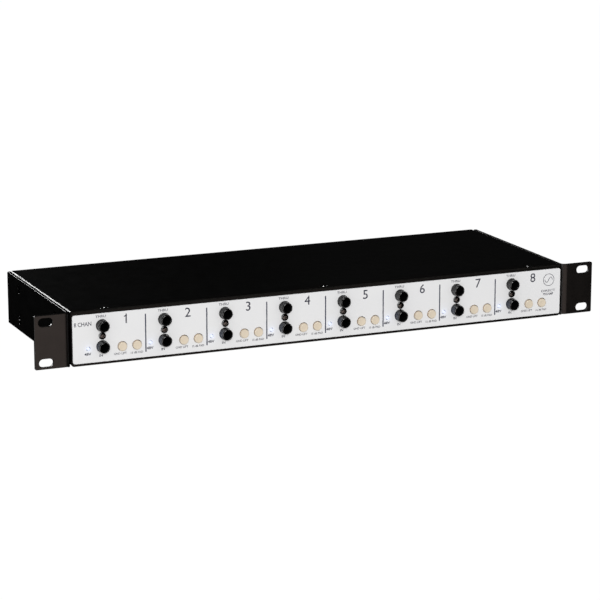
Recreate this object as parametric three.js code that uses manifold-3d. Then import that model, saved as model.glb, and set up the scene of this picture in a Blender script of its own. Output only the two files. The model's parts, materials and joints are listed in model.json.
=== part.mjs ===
// Eight-channel direct-input preamp, one rack unit high, for a 19-inch rack.
// Millimetres. X runs left to right as seen from the front, Y from front to back, and Z up.
// The origin is the centre of the chassis' underside.
import * as THREE from "three";
import { mergeVertices } from "three/addons/utils/BufferGeometryUtils.js";
import Module from "manifold-3d";

const wasm = await Module();
wasm.setup();

// Driving dimensions
const RACK_WIDTH = 482.6; // over both ears
const BODY_WIDTH = 429.4; // over the two side plates
const BODY_DEPTH = 159; // from the ears' front to the rear panel's face
const BODY_HEIGHT = 43.1;
const EAR_BOTTOM = 0.7; // the ears stop this far above the underside
const CLEAR = 0.3; // gap between pieces that touch

const SIDE_SHEET = 2.5; // side plates with their ears
const PLATE = 1.6; // front and rear panels
const SHEET = 1.2; // tray and cover
const EAR_CORNER = 1.2;
const BEND = 5.5; // outer radius of the bend between a side plate and its ear
const REAR_CORNER = 2; // of a side plate, at the top
const COVER_BEND = 2;
const LABEL = { width: 422.4, bottom: 2.25, top: 40.35, thickness: 1, corner: 1.8 };

// The channels, from 1 on the left to 8 on the right
const CHANNELS = 8;
const PITCH = 50.5;
const FIRST_JACK_X = -187.5;
const THRU_Z = 30.9;
const IN_Z = 14.4;
const SCREW_Z = (THRU_Z + IN_Z) / 2;
const LAMP = { x: -11.2, z: 13.4, radius: 1.65 }; // x from the jack's centre
const BUTTONS = [
  { name: "ground_lift_button", x: 16.2, travel: 2.2 },
  { name: "pad_button", x: 28.2, travel: 2.2 },
];
const BUTTON_Z = 12.7;
const BUTTON_RADIUS = 3.65;
const BUTTON_HOLE = { z: 12.9, radius: 4.1 };
const NOZZLE = { radius: 4.5, stands_out: 6.5, chamfer: 0.8 };
const PLUG_BORE = { radius: 3.3, depth: 32, mouth: 0.7 }; // for a 6.35 mm plug
const NOZZLE_HOLE = 4.85;
const JACK = { width: 15.2, depth: 30, top: 39.3 };

// Fasteners
const SIDE_SCREWS = { y: [-47.5, 47.5], z: [9.3, 34.5] };
const COVER_SCREWS = { x: [-183.5, 0, 183.5], from_front: 6 };
const COUNTERSINK = { radius: 3.3, depth: 1.35, shank: 1.6 };
const SCREW_CORE = 1.25; // holes that a screw cuts its thread in
const RACK_SLOT = { x: 232.4, spacing: 31.75, length: 11.4, width: 6.4 };

// Rear connectors, three-pin male, one behind each channel
const XLR = { z: 21.6, barrel: 11.8, cavity: 9.5, depth: 21.5, floor: 13.5 };
const XLR_FLANGE = { width: 26, height: 31, thickness: 1.6, corner: 2, screw: 1.6 };
const XLR_PIN = { radius: 1.2, circle: 4, length: 12 };

// Faces worked out from the driving dimensions
const FRONT = -BODY_DEPTH / 2;
const REAR = BODY_DEPTH / 2;
const SIDE_OUT = BODY_WIDTH / 2;
const SIDE_IN = SIDE_OUT - SIDE_SHEET;
const COVER_SIDE = SIDE_IN - CLEAR;
const TRAY_SIDE = COVER_SIDE - SHEET - CLEAR;
const PANEL_FRONT = FRONT + LABEL.thickness + CLEAR;
const PANEL_BACK = PANEL_FRONT + PLATE;
const INSIDE_FRONT = PANEL_BACK + CLEAR;
const INSIDE_REAR = REAR - PLATE - CLEAR;
const FLANGE_TOP = BODY_HEIGHT - SHEET - CLEAR;
const FLANGE_DEPTH = 10.6;
const BOARD = { bottom: 4, thickness: 1.6, width: 410, back: 50 };
const BOARD_TOP = BOARD.bottom + BOARD.thickness;
const ON_BOARD = BOARD_TOP + CLEAR;

// Materials
const finish = (color, roughness, metalness) =>
  new THREE.MeshStandardMaterial({ color, roughness, metalness });
const blackPaint = finish(0x141312, 0.5, 0.2);
const earPaint = finish(0x2a2624, 0.5, 0.2);
const whiteLabel = finish(0xe5e5e5, 0.45, 0);
const blackMoulding = finish(0x0b0b0c, 0.4, 0);
const creamPlastic = finish(0xebdac6, 0.4, 0);
const boardGreen = finish(0x1f4a2c, 0.5, 0);
const switchMoulding = finish(0x1b1b1d, 0.5, 0);
const transformerSteel = finish(0x8a8c90, 0.35, 0.8);
const dieCast = finish(0x1a1a1b, 0.45, 0.5);
const brass = finish(0xb8923f, 0.3, 0.9);

// Solids. Every shape is a three.js geometry turned into a manifold, which joins and cuts.
function solid(geometry) {
  const bare = geometry.clone();
  bare.deleteAttribute("normal");
  bare.deleteAttribute("uv");
  const merged = mergeVertices(bare, 1e-4);
  const shape = { numProp: 3, vertProperties: merged.attributes.position.array };
  shape.triVerts = new Uint32Array(merged.index.array);
  return new wasm.Manifold(new wasm.Mesh(shape));
}

function block([x0, x1], [y0, y1], [z0, z1]) {
  const box = new THREE.BoxGeometry(x1 - x0, y1 - y0, z1 - z0);
  return solid(box.translate((x0 + x1) / 2, (y0 + y1) / 2, (z0 + z1) / 2));
}

// A round bar or cone along Y, with its own radius at each end.
function barY(x, z, [y0, y1], radius, segments, backRadius = radius) {
  const bar = new THREE.CylinderGeometry(backRadius, radius, y1 - y0, segments);
  return solid(bar.translate(0, (y0 + y1) / 2, 0).translate(x, 0, z));
}

// The same along Z and along X, by turning the bar about the origin before it is placed.
function barZ(x, y, [z0, z1], radius, segments, topRadius = radius) {
  const bar = new THREE.CylinderGeometry(topRadius, radius, z1 - z0, segments);
  return solid(bar.rotateX(Math.PI / 2).translate(x, y, (z0 + z1) / 2));
}

function barX(y, z, [x0, x1], radius, segments, farRadius = radius) {
  const bar = new THREE.CylinderGeometry(farRadius, radius, x1 - x0, segments);
  return solid(bar.rotateZ(-Math.PI / 2).translate((x0 + x1) / 2, y, z));
}

const axis = { x: [1, 0, 0], y: [0, 1, 0], z: [0, 0, 1], minusY: [0, -1, 0] };
for (const name in axis) axis[name] = new THREE.Vector3(...axis[name]);
const turned = (a, b, c) => new THREE.Matrix4().makeBasis(axis[a], axis[b], axis[c]);

// An outline drawn in X and Z, and given its thickness along Y.
function plateXZ(outline, [y0, y1], curveSegments = 8) {
  const options = { depth: y1 - y0, bevelEnabled: false, curveSegments };
  const plate = new THREE.ExtrudeGeometry(outline, options);
  return plate.applyMatrix4(turned("x", "z", "minusY")).translate(0, y1, 0);
}

// An outline drawn in X and Y, given its height along Z.
function plateXY(outline, [z0, z1], curveSegments = 8) {
  const options = { depth: z1 - z0, bevelEnabled: false, curveSegments };
  return new THREE.ExtrudeGeometry(outline, options).translate(0, 0, z0);
}

// An outline drawn in Y and Z, given its width along X.
function plateYZ(outline, [x0, x1], curveSegments = 6) {
  const options = { depth: x1 - x0, bevelEnabled: false, curveSegments };
  const plate = new THREE.ExtrudeGeometry(outline, options);
  return plate.applyMatrix4(turned("y", "z", "x")).translate(x0, 0, 0);
}

function roundedRectangle([x0, x1], [z0, z1], corner) {
  const outline = new THREE.Shape();
  outline.absarc(x1 - corner, z1 - corner, corner, 0, Math.PI / 2);
  outline.absarc(x0 + corner, z1 - corner, corner, Math.PI / 2, Math.PI);
  outline.absarc(x0 + corner, z0 + corner, corner, Math.PI, 1.5 * Math.PI);
  outline.absarc(x1 - corner, z0 + corner, corner, 1.5 * Math.PI, 2 * Math.PI);
  outline.closePath();
  return outline;
}

// A round outline of a whole number of sides.
function ringPoints(x, z, radius, sides) {
  const at = (i) => (i * 2 * Math.PI) / sides;
  return Array.from(
    { length: sides },
    (_, i) => new THREE.Vector2(x + radius * Math.cos(at(i)), z + radius * Math.sin(at(i))),
  );
}

const span = (a, b) => [Math.min(a, b), Math.max(a, b)];
const cut = (body, tools) => tools.reduce((rest, tool) => rest.subtract(tool), body);
const join = (pieces) => pieces.reduce((whole, piece) => whole.add(piece));

// A manifold back as a geometry.
function geometryOf(manifold) {
  const { vertProperties, triVerts } = manifold.getMesh();
  const geometry = new THREE.BufferGeometry();
  geometry.setAttribute("position", new THREE.BufferAttribute(vertProperties, 3));
  geometry.setIndex(new THREE.BufferAttribute(triVerts, 1));
  geometry.computeVertexNormals();
  return geometry;
}

const unit = new THREE.Group();
function add(name, shape, material, group = unit) {
  const geometry = shape.isBufferGeometry ? shape : geometryOf(shape);
  const mesh = new THREE.Mesh(geometry, material);
  mesh.name = name;
  group.add(mesh);
}

const channelNumbers = Array.from({ length: CHANNELS }, (_, i) => i + 1);
const jackX = (channel) => FIRST_JACK_X + (channel - 1) * PITCH;

// Side plates: one sheet each, bent outwards at the front into the rack ear.
function sidePlate(side) {
  const across = (x) => side * x;
  const back = FRONT + SIDE_SHEET;
  const centre = { x: SIDE_IN + BEND, y: FRONT + BEND };
  const plan = new THREE.Shape();
  plan.moveTo(across(SIDE_IN), REAR);
  plan.lineTo(across(SIDE_OUT), REAR);
  const start = side > 0 ? Math.PI : 0;
  plan.absarc(across(centre.x), centre.y, BEND - SIDE_SHEET, start, 1.5 * Math.PI, side < 0);
  plan.lineTo(across(RACK_WIDTH / 2), back);
  plan.lineTo(across(RACK_WIDTH / 2), FRONT);
  plan.absarc(across(centre.x), centre.y, BEND, 1.5 * Math.PI, start, side > 0);
  plan.closePath();
  const sheet = solid(plateXY(plan, [0, BODY_HEIGHT], 4));

  // The ear is a little shorter than the side, and its outer corners are rounded.
  const reach = span(across(SIDE_IN - 1), across(SIDE_OUT + 2));
  const earWidth = span(across(SIDE_IN), across(RACK_WIDTH / 2));
  const earFace = roundedRectangle(earWidth, [EAR_BOTTOM, BODY_HEIGHT], EAR_CORNER);
  const sideFace = new THREE.Shape();
  sideFace.moveTo(FRONT + BEND / 2, -1);
  sideFace.lineTo(REAR, -1);
  const corner = { y: REAR - REAR_CORNER, z: BODY_HEIGHT - REAR_CORNER };
  sideFace.absarc(corner.y, corner.z, REAR_CORNER, 0, Math.PI / 2);
  sideFace.lineTo(FRONT + BEND / 2, BODY_HEIGHT);
  sideFace.closePath();
  const kept = join([
    solid(plateXZ(earFace, [FRONT - 1, FRONT + BEND], 2)),
    solid(plateYZ(sideFace, reach, 3)),
    block(reach, [FRONT - 1, FRONT + BEND], [EAR_BOTTOM, BODY_HEIGHT]),
  ]);

  const slot = (z) => {
    const half = (RACK_SLOT.length - RACK_SLOT.width) / 2;
    const outline = new THREE.Shape();
    const x = across(RACK_SLOT.x);
    outline.absarc(x + half, z, RACK_SLOT.width / 2, -Math.PI / 2, Math.PI / 2);
    outline.absarc(x - half, z, RACK_SLOT.width / 2, Math.PI / 2, 1.5 * Math.PI);
    outline.closePath();
    return solid(plateXZ(outline, [FRONT - 1, back + 1], 5));
  };
  const slots = [-0.5, 0.5].map((k) => slot(BODY_HEIGHT / 2 + k * RACK_SLOT.spacing));

  const screws = SIDE_SCREWS.y.flatMap((y) =>
    SIDE_SCREWS.z.flatMap((z) => {
      const mouth = span(across(SIDE_OUT - COUNTERSINK.depth), across(SIDE_OUT + 0.05));
      const hole = span(across(SIDE_IN - 1), across(SIDE_OUT + 1));
      const { radius, shank } = COUNTERSINK;
      const [low, high] = side > 0 ? [shank, radius] : [radius, shank];
      return [barX(y, z, mouth, low, 14, high), barX(y, z, hole, shank, 8)];
    }),
  );
  return cut(sheet.intersect(kept), [...slots, ...screws]);
}
add("left_side_plate", sidePlate(-1), earPaint);
add("right_side_plate", sidePlate(1), earPaint);

// Chassis tray: bottom, two walls, and low lips at the front and the rear.
function chassisTray() {
  const section = new THREE.Shape();
  const wallTop = FLANGE_TOP - CLEAR;
  section.moveTo(-TRAY_SIDE, 0);
  section.lineTo(TRAY_SIDE, 0);
  section.lineTo(TRAY_SIDE, wallTop);
  section.lineTo(TRAY_SIDE - SHEET, wallTop);
  section.lineTo(TRAY_SIDE - SHEET, SHEET);
  section.lineTo(SHEET - TRAY_SIDE, SHEET);
  section.lineTo(SHEET - TRAY_SIDE, wallTop);
  section.lineTo(-TRAY_SIDE, wallTop);
  section.closePath();
  const lipTop = 3.2;
  const width = [-TRAY_SIDE, TRAY_SIDE];
  const tray = join([
    solid(plateXZ(section, [INSIDE_FRONT, INSIDE_REAR])),
    block(width, [INSIDE_FRONT, INSIDE_FRONT + SHEET], [0, lipTop]),
    block(width, [INSIDE_REAR - SHEET, INSIDE_REAR], [0, lipTop]),
  ]);
  // Screws through the side plates go into these holes.
  const holes = SIDE_SCREWS.y.flatMap((y) =>
    SIDE_SCREWS.z.flatMap((z) =>
      [-1, 1].map((side) => {
        const wall = span(side * (TRAY_SIDE - 3), side * (TRAY_SIDE + 2));
        return barX(y, z, wall, SCREW_CORE, 8);
      }),
    ),
  );
  return cut(tray, holes);
}
add("chassis_tray", chassisTray(), blackPaint);

// Top cover: a sheet with rounded bends, its sides reaching down between wall and plate.
function topCover() {
  const inner = COVER_BEND - SHEET;
  const skirt = 30;
  const section = new THREE.Shape();
  const bendX = COVER_SIDE - COVER_BEND;
  const bendZ = BODY_HEIGHT - COVER_BEND;
  section.moveTo(COVER_SIDE, skirt);
  section.absarc(bendX, bendZ, COVER_BEND, 0, Math.PI / 2);
  section.absarc(-bendX, bendZ, COVER_BEND, Math.PI / 2, Math.PI);
  section.lineTo(-COVER_SIDE, skirt);
  section.lineTo(SHEET - COVER_SIDE, skirt);
  section.absarc(-bendX, bendZ, inner, Math.PI, Math.PI / 2, true);
  section.absarc(bendX, bendZ, inner, Math.PI / 2, 0, true);
  section.lineTo(COVER_SIDE - SHEET, skirt);
  section.closePath();
  const sheet = solid(plateXZ(section, [INSIDE_FRONT, REAR], 3));
  const topScrews = COVER_SCREWS.x.flatMap((x) => {
    const y = FRONT + COVER_SCREWS.from_front;
    const cone = [BODY_HEIGHT - SHEET, BODY_HEIGHT + 0.05];
    const through = [BODY_HEIGHT - SHEET - 1, BODY_HEIGHT + 1];
    return [
      barZ(x, y, cone, COUNTERSINK.shank, 14, COUNTERSINK.radius - 0.2),
      barZ(x, y, through, COUNTERSINK.shank, 8),
    ];
  });
  const upper = SIDE_SCREWS.z[1];
  const sideScrews = SIDE_SCREWS.y.flatMap((y) =>
    [-1, 1].map((side) => {
      const through = span(side * (COVER_SIDE - 2), side * (COVER_SIDE + 2));
      return barX(y, upper, through, COUNTERSINK.shank, 8);
    }),
  );
  return cut(sheet, [...topScrews, ...sideScrews]);
}
add("top_cover", topCover(), blackPaint);

// Front panel: a steel plate whose top is bent in under the cover.
const PANEL_BEND = 1.2;
function foldedPlate() {
  const section = new THREE.Shape();
  section.moveTo(PANEL_BACK, 0);
  section.lineTo(PANEL_FRONT, 0);
  const bend = { y: PANEL_FRONT + PANEL_BEND, z: BODY_HEIGHT - PANEL_BEND };
  section.absarc(bend.y, bend.z, PANEL_BEND, Math.PI, Math.PI / 2, true);
  section.lineTo(PANEL_BACK, BODY_HEIGHT);
  section.lineTo(PANEL_BACK, FLANGE_TOP);
  const flangeEnd = PANEL_BACK + FLANGE_DEPTH;
  section.lineTo(flangeEnd, FLANGE_TOP);
  section.lineTo(flangeEnd, FLANGE_TOP - SHEET);
  section.lineTo(PANEL_BACK, FLANGE_TOP - SHEET);
  section.closePath();
  const reach = TRAY_SIDE - SHEET - CLEAR;
  const ends = [-1, 1].map((side) => {
    const end = span(side * reach, side * (COVER_SIDE + 1));
    return block(end, [PANEL_BACK, flangeEnd], [FLANGE_TOP - SHEET - 1, FLANGE_TOP + 0.1]);
  });
  const height = [0, BODY_HEIGHT + LABEL.corner];
  const face = roundedRectangle([-COVER_SIDE, COVER_SIDE], height, LABEL.corner);
  const outline = solid(plateXZ(face, [PANEL_FRONT - 1, flangeEnd + 1], 3));
  return cut(solid(plateYZ(section, [-COVER_SIDE, COVER_SIDE])).intersect(outline), ends);
}

function frontPanel() {
  const through = [PANEL_FRONT - 1, PANEL_BACK + 1];
  const holes = channelNumbers.flatMap((channel) => {
    const x = jackX(channel);
    return [
      barY(x, THRU_Z, through, NOZZLE_HOLE, 14),
      barY(x, IN_Z, through, NOZZLE_HOLE, 14),
      barY(x, SCREW_Z, through, COUNTERSINK.shank, 8),
      barY(x + LAMP.x, LAMP.z, through, LAMP.radius, 8),
      ...BUTTONS.map((b) => barY(x + b.x, BUTTON_HOLE.z, through, BUTTON_HOLE.radius, 12)),
    ];
  });
  const coverScrews = COVER_SCREWS.x.map((x) => {
    const flange = [FLANGE_TOP - SHEET - 1, FLANGE_TOP + 0.1];
    return barZ(x, FRONT + COVER_SCREWS.from_front, flange, SCREW_CORE, 8);
  });
  return cut(foldedPlate(), [...holes, ...coverScrews]);
}
add("front_panel", frontPanel(), blackPaint);

// Label plate on the front panel, with an opening for everything that passes through it.
function labelPlate() {
  const half = LABEL.width / 2;
  const face = roundedRectangle([-half, half], [LABEL.bottom, LABEL.top], LABEL.corner);
  const opening = (x, z, radius, sides) => {
    face.holes.push(new THREE.Path(ringPoints(x, z, radius, sides)));
  };
  for (const channel of channelNumbers) {
    const x = jackX(channel);
    opening(x, THRU_Z, NOZZLE_HOLE, 18);
    opening(x, IN_Z, NOZZLE_HOLE, 18);
    opening(x, SCREW_Z, COUNTERSINK.shank, 8);
    opening(x + LAMP.x, LAMP.z, LAMP.radius, 8);
    for (const b of BUTTONS) opening(x + b.x, BUTTON_HOLE.z, BUTTON_HOLE.radius, 16);
  }
  return solid(plateXZ(face, [FRONT, FRONT + LABEL.thickness], 3));
}
add("front_label_plate", labelPlate(), whiteLabel);

// Rear panel: a flat plate under the end of the cover, with a round opening for each connector.
function rearPanel() {
  const across = [-TRAY_SIDE, TRAY_SIDE];
  const plate = block(across, [REAR - PLATE, REAR], [0, FLANGE_TOP - CLEAR]);
  const openings = channelNumbers.map((channel) =>
    barY(jackX(channel), XLR.z, [REAR - PLATE - 1, REAR + 1], XLR.barrel + CLEAR, 20),
  );
  return cut(plate, openings);
}
add("rear_panel", rearPanel(), blackPaint);

// Main board on four hexagonal standoffs.
const boardFront = INSIDE_FRONT + SHEET + 0.6;
const boardHalf = BOARD.width / 2;
add(
  "main_board",
  block([-boardHalf, boardHalf], [boardFront, BOARD.back], [BOARD.bottom, BOARD_TOP]),
  boardGreen,
);
const standoffRadius = 3.2;
const standoffs = [-1, 1].flatMap((sx) => [-1, 1].map((sy) => [sx * 195, sy * 38 - 8]));
standoffs.forEach(([x, y], i) => {
  const height = [SHEET + 0.2, BOARD.bottom - 0.2];
  add(`board_standoff_${i + 1}`, barZ(x, y, height, standoffRadius, 6), brass);
});

// Stacked pair of jack sockets: THRU above IN, with a fixing hole between the nozzles.
function stackedJack(x) {
  const tip = FRONT - NOZZLE.stands_out;
  const body = block(
    [x - JACK.width / 2, x + JACK.width / 2],
    [INSIDE_FRONT, INSIDE_FRONT + JACK.depth],
    [ON_BOARD, JACK.top],
  );
  const nozzle = (z) => {
    const chamferEnd = tip + NOZZLE.chamfer;
    const small = NOZZLE.radius - NOZZLE.chamfer;
    return join([
      barY(x, z, [chamferEnd, INSIDE_FRONT + 1], NOZZLE.radius, 18),
      barY(x, z, [tip, chamferEnd], small, 18, NOZZLE.radius),
    ]);
  };
  const bore = (z) => {
    const mouth = [tip - 0.05, tip + PLUG_BORE.mouth];
    return [
      barY(x, z, [tip - 1, tip + PLUG_BORE.depth], PLUG_BORE.radius, 16),
      barY(x, z, mouth, PLUG_BORE.radius + PLUG_BORE.mouth, 16, PLUG_BORE.radius),
    ];
  };
  const fixing = barY(x, SCREW_Z, [INSIDE_FRONT - 1, INSIDE_FRONT + 12], SCREW_CORE, 8);
  const whole = join([body, nozzle(THRU_Z), nozzle(IN_Z)]);
  return cut(whole, [...bore(THRU_Z), ...bore(IN_Z), fixing]);
}

// Pair of push switches in one moulded frame. Each button's stem slides in its own well.
const SWITCH_FRONT = INSIDE_FRONT + 0.5;
const SWITCH_DEPTH = 16;
const STEM = 3;
const WELL_END = SWITCH_FRONT + SWITCH_DEPTH - 2;
function switchPair(x) {
  const side = 6.4;
  const [first, second] = BUTTONS.map((b) => x + b.x);
  const frame = block(
    [first - side, second + side],
    [SWITCH_FRONT, SWITCH_FRONT + SWITCH_DEPTH],
    [ON_BOARD, BUTTON_Z + side],
  );
  const half = STEM / 2 + CLEAR;
  const wells = [first, second].map((centre) =>
    block(
      [centre - half, centre + half],
      [SWITCH_FRONT - 1, WELL_END],
      [BUTTON_Z - half, BUTTON_Z + half],
    ),
  );
  return cut(frame, wells);
}

// Push button: a round cap with an eased edge on a square stem, pressed towards +Y.
const BUTTON_STANDS_OUT = 1.6;
function pushButton(x) {
  const face = FRONT - BUTTON_STANDS_OUT;
  const ease = 0.4;
  const capEnd = SWITCH_FRONT - BUTTONS[0].travel - CLEAR;
  const stemEnd = WELL_END - BUTTONS[0].travel - 1;
  const half = STEM / 2;
  return join([
    barY(x, BUTTON_Z, [face, face + ease], BUTTON_RADIUS - ease, 16, BUTTON_RADIUS),
    barY(x, BUTTON_Z, [face + ease, capEnd], BUTTON_RADIUS, 16),
    block([x - half, x + half], [capEnd - 1, stemEnd], [BUTTON_Z - half, BUTTON_Z + half]),
  ]);
}

// Output transformer: a laminated core standing across its wound bobbin.
function outputTransformer(x) {
  return join([
    block([x - 11, x + 11], [-4.5, 4.5], [ON_BOARD, 25]),
    block([x - 7, x + 7], [-9, 9], [ON_BOARD + 1.6, 23]),
  ]);
}

// Three-pin male output connector in the rear panel: flange, barrel, cavity and pins.
function xlrOutput(x) {
  const face = REAR + CLEAR;
  const rim = face + XLR_FLANGE.thickness;
  const inner = rim - XLR.depth;
  const floor = rim - XLR.floor;
  const halfWidth = XLR_FLANGE.width / 2;
  const halfHeight = XLR_FLANGE.height / 2;
  const outline = roundedRectangle(
    [x - halfWidth, x + halfWidth],
    [XLR.z - halfHeight, XLR.z + halfHeight],
    XLR_FLANGE.corner,
  );
  const shell = join([
    solid(plateXZ(outline, [face, rim], 2)),
    barY(x, XLR.z, [inner, rim - 0.5], XLR.barrel, 20),
  ]);
  const screwAt = [9.6, 12.1];
  const hollow = cut(shell, [
    barY(x, XLR.z, [floor, rim + 1], XLR.cavity, 20),
    ...[-1, 1].map((k) =>
      barY(x - k * screwAt[0], XLR.z + k * screwAt[1], [face - 1, rim + 1], XLR_FLANGE.screw, 8),
    ),
  ]);
  const pins = [30, 150, 270].map((degrees) => {
    const angle = THREE.MathUtils.degToRad(degrees);
    const px = x + XLR_PIN.circle * Math.cos(angle);
    const pz = XLR.z + XLR_PIN.circle * Math.sin(angle);
    return barY(px, pz, [floor - 1, floor + XLR_PIN.length], XLR_PIN.radius, 6);
  });
  return join([hollow, ...pins]);
}

for (const channel of channelNumbers) {
  const x = jackX(channel);
  add(`stacked_jack_${channel}`, stackedJack(x), blackMoulding);
  add(`switch_pair_${channel}`, switchPair(x), switchMoulding);
  for (const b of BUTTONS) {
    add(`${b.name}_${channel}`, pushButton(x + b.x), creamPlastic);
  }
  add(`output_transformer_${channel}`, outputTransformer(x), transformerSteel);
  add(`xlr_output_${channel}`, xlrOutput(x), dieCast);
}

export default unit;
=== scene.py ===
import json
import math

import bmesh
import bpy
from mathutils import Matrix, Quaternion, Vector


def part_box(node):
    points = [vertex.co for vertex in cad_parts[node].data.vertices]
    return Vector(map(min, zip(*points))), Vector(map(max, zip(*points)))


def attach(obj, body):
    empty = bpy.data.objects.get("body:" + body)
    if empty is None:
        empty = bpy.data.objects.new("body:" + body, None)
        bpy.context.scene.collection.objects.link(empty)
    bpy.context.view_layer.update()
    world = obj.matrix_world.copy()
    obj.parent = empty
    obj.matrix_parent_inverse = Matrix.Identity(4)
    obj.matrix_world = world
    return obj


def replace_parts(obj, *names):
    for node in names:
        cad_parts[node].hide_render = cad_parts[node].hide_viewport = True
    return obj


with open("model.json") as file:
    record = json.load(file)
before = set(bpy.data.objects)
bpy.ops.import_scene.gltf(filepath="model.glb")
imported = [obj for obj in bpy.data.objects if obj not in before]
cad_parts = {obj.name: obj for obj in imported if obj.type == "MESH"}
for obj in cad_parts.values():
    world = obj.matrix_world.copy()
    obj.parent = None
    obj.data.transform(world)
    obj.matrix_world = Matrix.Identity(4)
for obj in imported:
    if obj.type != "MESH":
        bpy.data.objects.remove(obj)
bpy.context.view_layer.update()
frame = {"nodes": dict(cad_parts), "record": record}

MM = 0.001
CHANNELS = range(1, 9)
BODY = "chassis"


# ---------------------------------------------------------------- places, from the frame
def middle(node):
    low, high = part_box(node)
    return (low + high) / 2


OPENINGS = {o["name"]: o["box_m"] for o in frame["record"]["physics"]["openings"]}


def opening_middle(name):
    low, high = OPENINGS[name]
    return (Vector(low) + Vector(high)) / 2


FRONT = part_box("front_label_plate")[0].y
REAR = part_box("rear_panel")[1].y
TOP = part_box("top_cover")[1].z
COVER_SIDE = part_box("top_cover")[1].x
EAR_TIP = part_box("right_side_plate")[1].x
EAR_REACH = 26.6 * MM  # from the outside of a side plate to the tip of its ear
SIDE_OUT = EAR_TIP - EAR_REACH
SIDE_SHEET = 2.5 * MM
SIDE_IN = SIDE_OUT - SIDE_SHEET
SHEET = 1.2 * MM
INSIDE_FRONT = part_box("top_cover")[0].y
NOZZLE_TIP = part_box("stacked_jack_1")[0].y
JACK_X = {c: opening_middle(f"in_socket_{c}").x for c in CHANNELS}
THRU_Z = opening_middle("thru_socket_1").z
IN_Z = opening_middle("in_socket_1").z
SCREW_Z = (THRU_Z + IN_Z) / 2
PITCH = JACK_X[2] - JACK_X[1]
BUTTON_HOLE_Z = middle("pad_button_1").z + 0.15 * MM
LAMP = Vector((-11.2, 0, 13.4)) * MM  # from the jack's column
OUTPUT_Z = opening_middle("output_socket_1").z


# ---------------------------------------------------------------- camera, light and floor
def in_scene(name, data):
    made = bpy.data.objects.new(name, data)
    bpy.context.scene.collection.objects.link(made)
    return made


def make_camera():
    data = bpy.data.cameras.new("camera")
    data.sensor_width = 36
    data.lens = 147.56
    data.clip_end = 100
    camera = in_scene("camera", data)
    azimuth, elevation = math.radians(23.2955), math.radians(13.2795)
    camera.location = Vector((-769.86, -1814.56, 481.12)) * MM
    forward = Vector(
        (
            math.sin(azimuth) * math.cos(elevation),
            math.cos(azimuth) * math.cos(elevation),
            -math.sin(elevation),
        )
    )
    roll = Quaternion((0, 0, 1), math.radians(-0.039))
    camera.rotation_euler = (forward.to_track_quat("-Z", "Y") @ roll).to_euler()
    bpy.context.scene.camera = camera


def softbox(name, place, at, size, radiance, colour=(1, 1, 1), direct=False):
    """A soft light that lights the surfaces if direct, and otherwise only shows in gloss."""
    data = bpy.data.lights.new(name, "AREA")
    data.shape = "RECTANGLE"
    data.size, data.size_y = size
    data.energy = radiance * math.pi * size[0] * size[1]
    data.color = colour
    light = in_scene(name, data)
    light.location = place
    light.rotation_euler = (Vector(at) - Vector(place)).to_track_quat("-Z", "Y").to_euler()
    light.visible_camera = False
    light.visible_diffuse = direct
    light.visible_glossy = not direct


def make_light():
    """Soft light from the front left, and boxes that show in the paint and along its bends."""
    body, warm = (0, 0, 0.02), (1, 0.8, 0.72)
    cover_left, cover_right = (-0.2, 0, 0.04), (0.2, 0, 0.04)
    softbox("key", (-0.9, -3.4, 1.15), body, (1.5, 1.15), 15, direct=True)
    softbox("rear_box", (-0.74, 2.6, 0.92), cover_left, (0.86, 0.36), 21)
    softbox("rear_glow", (0.3, 2.6, 0.66), cover_left, (0.5, 0.34), 0.03)
    softbox("right_glow", (1.5, 2.4, 0.78), cover_right, (0.9, 0.6), 0.012)
    softbox("right_strip", (1.4, 2.1, -0.16), cover_right, (0.5, 0.3), 4)
    softbox("left_high_box", (-1.5, -1.15, 0.6), body, (0.6, 0.5), 3)
    below_front, front = (-0.09, -0.95, -0.22), (-0.09, 0, 0.02)
    softbox("front_panel_box", below_front, front, (1.26, 0.6), 1.17, warm)
    softbox("left_box", (-1.5, -0.75, -0.15), body, (0.8, 1.0), 2.8)
    softbox("overhead_box", (-0.7, -1.1, 1.5), (0, 0, 0), (0.9, 0.7), 12)
    world = bpy.data.worlds.new("white_room")
    world.use_nodes = True
    tree = world.node_tree
    room = tree.nodes["Background"]
    room.inputs["Color"].default_value = (1, 1, 1, 1)
    seen = tree.nodes.new("ShaderNodeLightPath").outputs["Is Camera Ray"]
    strength = tree.nodes.new("ShaderNodeMapRange")
    strength.inputs["To Min"].default_value = 0.45  # on the object
    strength.inputs["To Max"].default_value = 1.0  # as the background
    tree.links.new(seen, strength.inputs["Value"])
    tree.links.new(strength.outputs["Result"], room.inputs["Strength"])
    world.cycles_visibility.glossy = False
    bpy.context.scene.world = world
    bpy.context.scene.view_settings.view_transform = "Standard"


def make_floor():
    """Shadowless white paper, as bright as the room, a hair below the underside."""
    mesh = bpy.data.meshes.new("floor")
    half, height = 12, -0.2 * MM
    corners = [(-half, -half), (half, -half), (half, half), (-half, half)]
    mesh.from_pydata([(x, y, height) for x, y in corners], [], [(0, 1, 2, 3)])
    floor = in_scene("floor", mesh)
    floor.visible_glossy = False
    floor.visible_diffuse = False
    floor.visible_shadow = False
    paper = Material("floor_paper", (0.02, 0.02, 0.02), roughness=0.9, specular=0.0)
    paper.shader.inputs["Emission Color"].default_value = (1, 1, 1, 1)
    paper.shader.inputs["Emission Strength"].default_value = 1.0
    mesh.materials.append(paper.material)


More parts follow.
